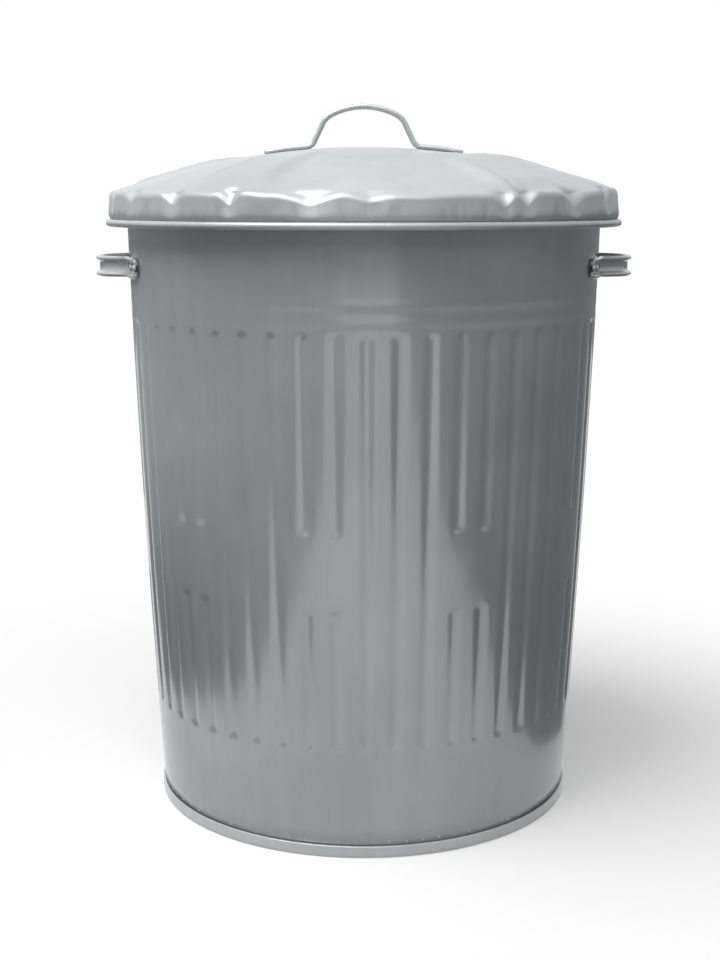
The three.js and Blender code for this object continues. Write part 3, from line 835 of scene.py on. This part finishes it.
class STEELBIN_OT_wall(bpy.types.Operator):
    """Roll the fluted wall with its swages, seam and wired rim"""

    bl_idname = "steel_bin.wall"
    bl_label = "Fluted Wall"

    def execute(self, context):
        sizes = context.scene.steel_bin_wall
        section = wall_section(sizes)
        points = [(radius, 0, height) for radius, height, _ in [*section, section[0]]]
        obj = new_object("fluted_wall", points, edges=[(i, i + 1) for i in range(len(points) - 1)])
        seam = obj.data.attributes.new("seam", "FLOAT", "POINT")
        seam.data.foreach_set("value", [share for *_, share in [*section, section[0]]])
        paint = painted_steel("wall_paint", context.scene.steel_bin_finish.wall, grime_height=0.03)
        fluted_wall_tree(sizes, paint).run(obj)
        placed(obj, "bin", "wall_steel", "body_shell")
        return {"FINISHED"}


class STEELBIN_OT_foot(bpy.types.Operator):
    """Make the band round the foot and the pressed base"""

    bl_idname = "steel_bin.foot"
    bl_label = "Foot and Base"

    def execute(self, context):
        sizes = context.scene.steel_bin_wall
        # the foot paint is lighter than the wall as painted light, against the shade beside the floor
        paint = painted_steel("foot_paint", context.scene.steel_bin_finish.foot, grime_height=0.006)
        self.make_band(sizes, paint)
        self.make_base(sizes, paint)
        return {"FINISHED"}

    def make_band(self, sizes, paint):
        """A flat band folded in under the wall and up behind the base's edge."""
        sheet = BAND_SHEET
        outer, top = BAND_HIGH.x, BAND_HIGH.z
        inner = wall_radius(sizes, SHELL_LOW.z) - 2 * (SHEET + CLEARANCE) - sheet
        seat = wall_radius(sizes, top) + 0.0001
        lip = 0.007
        edge = sheet * 0.5
        rounding = 0.0012
        profile = [
            *arc((outer - rounding, rounding), rounding, -math.pi / 2, 0, 5),
            (outer, top * 0.35),
            (outer - 0.0001, top * 0.6),
            (outer - 0.0001, top * 0.8),
            *arc((outer - 0.0007, top - 0.0006), 0.0006, 0, math.pi / 2, 4),
            (seat + 0.0005, top + 0.0002),
            (seat + 0.0002, top + 0.0002),
            (seat, top - 0.0001),
            (seat, top - sheet),
            (outer - sheet - 0.0002, top - sheet - 0.0006),
            (outer - sheet, sheet + 0.0008),
            (outer - sheet - 0.001, sheet),
            (inner + sheet, sheet),
            (inner + sheet, lip * 0.5),
            *arc((inner + edge, lip - edge), edge, 0, math.pi, 4),
            (inner, lip * 0.5),
            (inner, rounding),
            (inner + rounding, 0),
        ]
        rows = spun(profile, 360)
        heights = np.concatenate([row[:, 2] for row in rows])
        wear = np.maximum(smooth_step(heights, top - 0.0012, top), 1 - smooth_step(heights, 0, 0.0015))
        band = skin("foot_band", rows, paint, wear=wear * 0.8)
        placed(band, "bin", "wall_steel", "base_hoop")

    def make_base(self, sizes, paint):
        """The base: turned down at its edge, dished, with a step and two stiffening rings."""
        floor = PAN_HIGH.z
        corner = 0.006
        outer, top_edge = (wall_radius(sizes, z) - SHEET - CLEARANCE for z in (PAN_LOW.z, floor))
        step, run, drop = 0.150, 0.006, 0.003
        stiffeners, stiffener_width, stiffener_height = (0.105, 0.06), 0.005, 0.0011

        def level(radius):
            ribs = sum(bump_at(radius - middle, stiffener_width) for middle in stiffeners)
            dish = drop * (1 - smooth_step(radius, step, step + run))
            return float(floor - dish + stiffener_height * ribs)

        bend = arc((top_edge - corner, floor - corner), corner, 0, math.pi / 2, 6)
        radii = np.linspace(top_edge - corner - 0.004, 0.003, 46)
        face = [(outer, PAN_LOW.z), *bend, *[(r, level(r)) for r in radii], (0, floor - drop)]
        turned_down, edge = floor - corner * 0.5, 0.008
        under = [(max(r - SHEET * (z < turned_down), 0), z - SHEET * (z > edge)) for r, z in face]
        rows = spun(face, 240) + spun(list(reversed(under)), 240)
        base = skin("pressed_base", rows, paint)
        placed(base, "bin", "wall_steel", "base_pan")


class STEELBIN_OT_crimps(bpy.types.Operator):
    """Set the row of small crimp marks that lock the wall to its foot"""

    bl_idname = "steel_bin.crimps"
    bl_label = "Crimp Marks"

    def execute(self, context):
        level = BAND_HIGH.z + 0.0035
        shape = ShapeTree("Crimp Marks")
        marks = shape.input("Marks", 82)
        radius = shape.input("Ring Radius", wall_radius(context.scene.steel_bin_wall, level) - 0.0001)
        height = shape.input("Height", level)
        size = shape.input("Mark Size", 0.0017)
        seed = shape.input("Seed", 4)
        ring = shape.node("GeometryNodeMeshCircle", Vertices=marks, Radius=radius)
        up = shape.vector(0.0, 0.0, height)
        lifted = shape.node("GeometryNodeTransform", Geometry=ring, Translation=up)
        dot = shape.node("GeometryNodeMeshUVSphere", Segments=10, Rings=6, Radius=size)
        flat = shape.node("GeometryNodeTransform", Geometry=dot, Scale=(0.28, 1.0, 0.8))
        x, y, _ = shape.parts(shape.node("GeometryNodeInputPosition"))
        spread = shape.tree.nodes.new("FunctionNodeRandomValue")
        spread.data_type = "FLOAT"
        least, most = [socket for socket in spread.inputs if socket.type == "VALUE"][:2]
        least.default_value, most.default_value = 0.5, 1.1
        plug(seed, spread.inputs["Seed"])
        dots = shape.node(
            "GeometryNodeInstanceOnPoints",
            Points=lifted,
            Instance=flat,
            Rotation=shape.vector(0.0, 0.0, y.math("ARCTAN2", x)),
            Scale=next(socket for socket in spread.outputs if socket.type == "VALUE"),
        )
        shape.finish(dots, bpy.data.materials["wall_paint"])
        obj = shape.run(new_object("crimp_marks", []))
        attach(obj, "bin")
        return {"FINISHED"}


class STEELBIN_OT_lid(bpy.types.Operator):
    """Press the domed lid with its flats, folded shoulder, skirt and wired edge"""

    bl_idname = "steel_bin.lid"
    bl_label = "Lid"

    def execute(self, context):
        sizes = context.scene.steel_bin_lid
        paint = painted_steel(
            "lid_paint",
            context.scene.steel_bin_finish.lid,
            unevenness=0.04,
            roughness=0.38,
            coat=0.08,
            # the skirt's pleats: bumps, darkened with painted shade
            pleated=(LID_WIRE_HIGH.z + 0.001, sizes.shoulder_height + 0.002),
        )
        outer, inner, section, folds = lid_rows(sizes, context.scene.steel_bin_strap)
        bend = sizes.shoulder_radius - sizes.shoulder_round
        wear = []
        for row, (radius, _, lift, _) in zip(outer, section):
            on_shoulder = radius > bend and lift > 0.75
            wear.append((0.45 * 0.7 * on_shoulder * (1 - folds))[: len(row)])
        for index in reversed(range(len(inner))):
            on_roll = index > len(section) - ROLL_STEPS
            wear.append(np.full(len(inner[index]), 0.7 * on_roll))
        rows = [*outer, *reversed(inner)]
        lid = skin("domed_lid", rows, paint, looped=False, wear=np.concatenate(wear))
        placed(lid, "lid", "lid_steel", "lid_shell")
        return {"FINISHED"}


def strap_line(straps, surface_radius, rise):
    """Half the strap's inner line over a round surface centred on the origin, from the middle of
    the grip to the end of the tab, as an array of (x, y)."""
    top, leg = straps.arch_angle, straps.leg_angle
    top_centre = np.array([0, surface_radius + rise - straps.arch_radius])
    top_out = np.array([math.sin(top), math.cos(top)])
    shoulder = top_centre + (straps.arch_radius - straps.shoulder_radius) * top_out
    leg_out = np.array([math.sin(leg), math.cos(leg)])
    leg_down = np.array([math.cos(leg), -math.sin(leg)])
    foot_start = shoulder + leg_out * (straps.shoulder_radius + straps.foot_radius)
    along = float(foot_start @ leg_down)
    reach = surface_radius + straps.foot_radius
    leg_length = -along - math.sqrt(along**2 - float(foot_start @ foot_start) + reach**2)
    foot = foot_start + leg_down * leg_length
    foot_angle = math.atan2(foot[1], foot[0])
    right = math.pi / 2
    return np.concatenate([
        arc(top_centre, straps.arch_radius, right, right - top, 14),
        arc(shoulder, straps.shoulder_radius, right - top, right - leg, 10)[1:],
        arc(foot, straps.foot_radius, -right - leg, foot_angle - math.pi, 10),
        arc((0, 0), surface_radius, foot_angle, right - straps.reach / surface_radius, 16)[1:],
    ])


def strap_outline(straps):
    """Section of the strap as (across, out): a round bead along each edge of a thin web that is
    pressed back between them."""
    half, bead = straps.width / 2, straps.bead / 2
    web = straps.sheet
    roll = arc((half - bead, bead), bead, -math.pi / 2, math.pi * 0.97, 12)
    fillet = [(half - 2 * bead - 0.0004, web + 0.0004), (half - 2 * bead - 0.0014, web)]
    one_side = [*roll.tolist(), *fillet]
    other_side = [(-x, y) for x, y in reversed(one_side)]
    return np.array([*one_side, (0, web + 0.0002), *other_side, (0, 0)])


def make_strap(name, straps, surface_radius, rise, to_place, paint):
    """A whole handle: the outline swept along the strap's line, with rounded tab ends."""
    half = strap_line(straps, surface_radius, rise)
    line = np.concatenate([np.stack([-half[:0:-1, 0], half[:0:-1, 1]], 1), half])
    steps = np.linalg.norm(np.diff(line, axis=0), axis=1)
    travelled = np.concatenate([[0], np.cumsum(steps)])
    total = travelled[-1]
    ends = np.array([0.0008, 0.002, 0.004, 0.0065])
    stations = np.unique(np.concatenate([travelled, ends, total - ends]))
    line = np.stack([np.interp(stations, travelled, line[:, k]) for k in (0, 1)], 1)
    along = np.gradient(line, axis=0)
    along /= np.linalg.norm(along, axis=1, keepdims=True)
    outline = strap_outline(straps)
    rounded_length, flattened_length = 0.008, 0.02
    from_end = np.minimum(stations, total - stations)
    narrowing = 1 - 0.42 * (1 - np.sqrt(1 - np.clip(1 - from_end / rounded_length, 0, 1) ** 2))
    flattening = 1 - 0.25 * (1 - smooth_step(from_end, 0, flattened_length))
    rows = []
    for (x, y), (run, climb), narrow, flat in zip(line, along, narrowing, flattening):
        across, out = outline[:, 0] * narrow, outline[:, 1] * flat
        rows.append(np.column_stack([x - climb * out, y + run * out, across]))
    wear = np.tile(smooth_step(outline[:, 1], straps.bead * 0.75, straps.bead) * 0.65, len(rows))
    rows = [rows[0].mean(0, keepdims=True), *rows, rows[-1].mean(0, keepdims=True)]
    rows = [np.array([to_place(point) for point in row]) for row in rows]
    return skin(name, rows, paint, looped=False, wear=np.concatenate([[0], wear, [0]]))


def side_place(side, height):
    """From the plane a strap is drawn in to one side of the bin."""
    return lambda point: (side * point[1], -side * point[0], height + point[2])


def lid_place(centre_height):
    """From the plane a strap is drawn in to the top of the lid."""
    return lambda point: (point[0], -point[2], centre_height + point[1])


def handle_seats(context):
    """(name, node, body, surface radius, rise, placing) of each handle."""
    wall, lid = context.scene.steel_bin_wall, context.scene.steel_bin_lid
    straps = context.scene.steel_bin_strap
    height = (SIDE_HANDLE_LOW.z + SIDE_HANDLE_HIGH.z) / 2
    seat = wall_radius(wall, height + straps.width / 2) + CLEARANCE
    dome = lid.dome_radius + CLEARANCE
    over = lid_place(lid.dome_top - lid.dome_radius)
    return (
        ("grip_left", "side_handle_left", "bin", seat, straps.side_rise, side_place(-1, height)),
        ("grip_right", "side_handle_right", "bin", seat, straps.side_rise, side_place(1, height)),
        ("grip_lid", "lid_handle", "lid", dome, straps.lid_rise, over),
    )


class STEELBIN_OT_handles(bpy.types.Operator):
    """Bend the two side handles and the lid's handle from beaded strap"""

    bl_idname = "steel_bin.handles"
    bl_label = "Handles"

    def execute(self, context):
        # the strap paint is partly painted light, a little lighter than the lid against the shade on the tabs
        paint = painted_steel("strap_paint", context.scene.steel_bin_finish.strap)
        for name, node, body, radius, rise, to_place in handle_seats(context):
            strap = make_strap(name, context.scene.steel_bin_strap, radius, rise, to_place, paint)
            placed(strap, body, "strap_steel", node)
        return {"FINISHED"}


class STEELBIN_OT_rivets(bpy.types.Operator):
    """Set two rivets through each end of every handle"""

    bl_idname = "steel_bin.rivets"
    bl_label = "Rivets"

    def execute(self, context):
        straps = context.scene.steel_bin_strap
        plate = zinc_plate("rivet_zinc", context.scene.steel_bin_finish.zinc)
        for name, body in (("side_rivets", "bin"), ("lid_rivets", "lid")):
            seats = [
                seat
                for _, _, handle_body, radius, _, to_place in handle_seats(context)
                if handle_body == body
                for seat in self.seats(straps, radius, to_place)
            ]
            obj = self.rivets(name, straps, seats, plate)
            nodes = [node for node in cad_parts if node.startswith(name[:-1])]
            placed(obj, body, "rivet_steel", *nodes)
        return {"FINISHED"}

    def seats(self, straps, radius, to_place):
        """Where each rivet's head sits on the strap, and which way it faces."""
        for side in (-1, 1):
            for inset in (straps.rivet_inset, straps.rivet_inset + straps.rivet_spacing):
                angle = side * (straps.reach - inset) / radius
                out = np.array([math.sin(angle), math.cos(angle), 0])
                low = Vector(to_place(out * (radius + straps.sheet)))
                high = Vector(to_place(out * (radius + straps.sheet + 1)))
                yield low, high - low

    def rivets(self, name, straps, seats, plate):
        """Domed heads with their shanks and tails, placed on the seats by instancing."""
        points = new_object(name, [seat for seat, _ in seats])
        attribute = points.data.attributes.new("outwards", "FLOAT_VECTOR", "POINT")
        attribute.data.foreach_set("vector", np.array([facing for _, facing in seats], np.float32).ravel())
        pattern = self.one_rivet(straps, plate)
        shape = ShapeTree("Rivets")
        info = shape.node("GeometryNodeObjectInfo", Object=shape.input("Rivet", pattern, "NodeSocketObject"))
        align = shape.tree.nodes.new("FunctionNodeAlignRotationToVector")
        align.axis = "Z"
        plug(shape.attribute("outwards", "FLOAT_VECTOR"), align.inputs["Vector"])
        heads = shape.node(
            "GeometryNodeInstanceOnPoints",
            Points=shape.source.outputs["Geometry"],
            Instance=info.outputs["Geometry"],
            Rotation=align,
        )
        shape.finish(heads, plate)
        shape.run(points)
        bpy.data.objects.remove(pattern)
        return points

    def one_rivet(self, straps, plate):
        """One rivet with the seat of its head at the origin and its head along +Z."""
        head, rise = straps.rivet_radius, straps.rivet_height
        shank = 0.0016
        tail = shank * 1.7
        grip = straps.sheet + SHEET + 3 * CLEARANCE
        dome = arc((0, 0), 1, 0, math.pi / 2, 5)[:-1] * (head, rise)
        profile = [
            (0, -grip - 0.0012),
            (shank * 1.2, -grip - 0.0012),
            (tail, -grip - 0.0004),
            (tail, -grip),
            (shank, -grip),
            (shank, 0),
            *dome,
            (0, rise),
        ]
        return skin("rivet_pattern", spun(profile, 16), plate, looped=False)


class STEELBIN_OT_wires(bpy.types.Operator):
    """Give the two wires inside the rolled edges their drawn-steel finish"""

    bl_idname = "steel_bin.wires"
    bl_label = "Wires"

    def execute(self, context):
        wire = zinc_plate("drawn_wire", context.scene.steel_bin_finish.wire)
        for name in ("rim_wire", "lid_bead_wire"):
            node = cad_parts[name]
            if not node.material_slots:
                raise RuntimeError(f"{name} has no material slot")
            for slot in node.material_slots:
                slot.material = wire
        return {"FINISHED"}


class STEELBIN_OT_studio(bpy.types.Operator):
    """Stand the bin on a pale floor in soft light, seen from its front"""

    bl_idname = "steel_bin.studio"
    bl_label = "Studio"

    def execute(self, context):
        studio = context.scene.steel_bin_studio
        self.make_camera(context, studio)
        self.make_floor(studio)
        self.make_flags()
        self.make_lamps()
        self.make_world(context)
        context.scene.view_settings.view_transform = "Standard"
        return {"FINISHED"}

    def make_camera(self, context, studio):
        data = bpy.data.cameras.new("camera")
        data.lens = studio.lens
        data.sensor_width = 36
        camera = added("camera", data)
        camera.location = studio.camera_place
        camera.rotation_euler = (math.pi / 2 - studio.camera_tilt, 0, 0)
        context.scene.camera = camera

    def make_floor(self, studio):
        """A pale floor that keeps the bin's shadow and fades to white away from it."""
        side = studio.floor_size / 2
        corners = [(x * side, y * side, -0.0004) for x, y in ((-1, -1), (1, -1), (1, 1), (-1, 1))]
        floor = self.sheet("floor", corners)
        finish = Finish("paper_floor")
        tree = finish.tree
        rays = tree.nodes.new("ShaderNodeLightPath").outputs
        bounced = Number(rays["Is Diffuse Ray"]) * 0.7
        paper = finish.mix(bounced, tuple(studio.floor_colour), (0, 0, 0, 1))
        finish.set(Base_Color=paper, Roughness=0.9, Specular_IOR_Level=0.1)
        white = node_with(tree, "ShaderNodeEmission", Color=(1, 1, 1, 1), Strength=1.0)
        distance = finish.distance()
        faded = distance.ease(0.25, 0.9, 0.3, 1.0) * Number(rays["Is Camera Ray"])
        dimmed = distance.ease(0.3, 1.1, 0.6, 1.0) * Number(rays["Is Glossy Ray"])
        blend = node_with(tree, "ShaderNodeMixShader", Fac=faded + dimmed)
        plug(finish.shader, blend.inputs[1])
        plug(white, blend.inputs[2])
        plug(blend, tree.nodes["Material Output"].inputs["Surface"])
        floor.data.materials.append(finish.material)

    def make_flags(self):
        """Dark mats on the floor and dark boards round the studio. They are seen only as the
        soft dark shapes that the paint reflects on either side of the pale middle."""
        dark_felt, grey_felt = self.felt("dark_felt", 0.03, 0.42), self.felt("grey_felt", 0.2, 0.25)
        left = ((-0.46, -2.9), (-0.46, 0.2), (-3.6, 5.6), (-6, 5.6), (-6, -2.9))
        near_right = ((0.3, 0.1), (0.33, -0.06), (0.5, -0.25), (0.66, -0.5), (0.76, -0.9))
        right = ((0.9, -2.9), (6, -2.9), (6, 5.6), (3.4, 5.6), *near_right)
        boards = (
            ("board_middle", (-0.5, -2.9), (0.8, -2.9), 0.2),
            ("board_back_left", (-4, -2.9), (-0.5, -2.9), 0),
            ("board_back_right", (0.8, -2.9), (4, -2.9), 0),
            ("board_left", (-4, 4), (-4, -2.9), 0),
            ("board_right", (4, -2.9), (4, 4), 0),
            ("board_rear", (4, 4), (-4, 4), 0),
        )
        mat_height, board_top = 0.001, 0.57
        flags = [
            (self.sheet(name, [(x, y, mat_height) for x, y in outline]), felt)
            for name, outline, felt in (("mat_left", left, dark_felt), ("mat_right", right, grey_felt))
        ]
        for name, (x0, y0), (x1, y1), low in boards:
            corners = [(x0, y0, low), (x1, y1, low), (x1, y1, board_top), (x0, y0, board_top)]
            flags.append((self.sheet(name, corners), grey_felt))
        for flag, felt in flags:
            flag.data.materials.append(felt)
            flag.visible_camera = flag.visible_diffuse = flag.visible_shadow = False

    def felt(self, name, near, far):
        """Felt that looks dark close to the bin and greyer at a distance from it."""
        finish = Finish(name)
        finish.set(Base_Color=(0.02, 0.02, 0.02, 1), Roughness=1.0, Specular_IOR_Level=0.0)
        grey = finish.distance().ease(0.5, 2.2, near, far)
        finish.set(Emission_Color=(0.9, 0.96, 1, 1), Emission_Strength=grey)
        return finish.material

    def sheet(self, name, corners):
        """A flat sheet of the stage."""
        obj = new_object(name, corners, [range(len(corners))])
        obj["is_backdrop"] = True
        return obj

    def make_lamps(self):
        """A key high at the left, a wide softbox over the bin and a weak fill from the front."""
        lamps = (
            ("key_box", (-0.98, -0.66, 2.75), (0, 0, 0.4), 1.8, 66),
            ("top_box", (0.2, 0.3, 2.8), (0, 0, 0.4), 2.4, 5),
            ("fill_box", (-0.3, -1.8, 2.65), (0, 0, 0.3), 2.2, 35),
        )
        for name, place, target, size, power in lamps:
            data = bpy.data.lights.new(name, "AREA")
            data.shape = "SQUARE"
            data.size = size
            data.energy = power
            lamp = added(name, data)
            lamp.location = place
            lamp.rotation_euler = (Vector(target) - Vector(place)).to_track_quat("-Z", "Y").to_euler()

    def make_world(self, context):
        """White where it is seen directly or in gloss, and a dimmer grey as light."""
        world = bpy.data.worlds.new("studio_world")
        world.use_nodes = True
        context.scene.world = world
        tree = world.node_tree
        rays = tree.nodes.new("ShaderNodeLightPath").outputs
        seen = Number(rays["Is Camera Ray"])
        for kind in ("Is Glossy Ray", "Is Transmission Ray"):
            seen = seen.math("MAXIMUM", rays[kind])
        background = tree.nodes["Background"]
        background.inputs["Color"].default_value = (1, 1, 1, 1)
        plug(seen * 0.86 + 0.14, background.inputs["Strength"])


class STEELBIN_PT_parts(bpy.types.Panel):
    """Builds the bin piece by piece and lists its sizes and colours"""

    bl_label = "Steel Bin"
    bl_idname = "STEELBIN_PT_parts"
    bl_space_type = "VIEW_3D"
    bl_region_type = "UI"
    bl_category = "Steel Bin"

    def draw(self, context):
        for operator in OPERATORS:
            self.layout.operator(operator.bl_idname)
        for name in SETTINGS:
            group = getattr(context.scene, name)
            box = self.layout.box()
            for prop in group.bl_rna.properties:
                if prop.identifier not in ("rna_type", "name"):
                    box.prop(group, prop.identifier)


OPERATORS = (
    STEELBIN_OT_wall,
    STEELBIN_OT_foot,
    STEELBIN_OT_crimps,
    STEELBIN_OT_lid,
    STEELBIN_OT_handles,
    STEELBIN_OT_rivets,
    STEELBIN_OT_wires,
    STEELBIN_OT_studio,
)
SETTINGS = {
    "steel_bin_wall": WallSizes,
    "steel_bin_lid": LidSizes,
    "steel_bin_strap": StrapSizes,
    "steel_bin_finish": Finishes,
    "steel_bin_studio": StudioSizes,
}


def register():
    for cls in (*SETTINGS.values(), *OPERATORS, STEELBIN_PT_parts):
        bpy.utils.register_class(cls)
    for name, group in SETTINGS.items():
        setattr(bpy.types.Scene, name, PointerProperty(type=group))


def unregister():
    for name in SETTINGS:
        delattr(bpy.types.Scene, name)
    for cls in reversed((*SETTINGS.values(), *OPERATORS, STEELBIN_PT_parts)):
        bpy.utils.unregister_class(cls)


def main():
    register()
    for operator in OPERATORS:
        group, action = operator.bl_idname.split(".")
        getattr(getattr(bpy.ops, group), action)()
    boxes = {"cad": (CAD_LOW, CAD_HIGH), "visual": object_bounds()}
    {name: [list(corner) for corner in box] for name, box in boxes.items()}


if __name__ == "__main__":
    main()
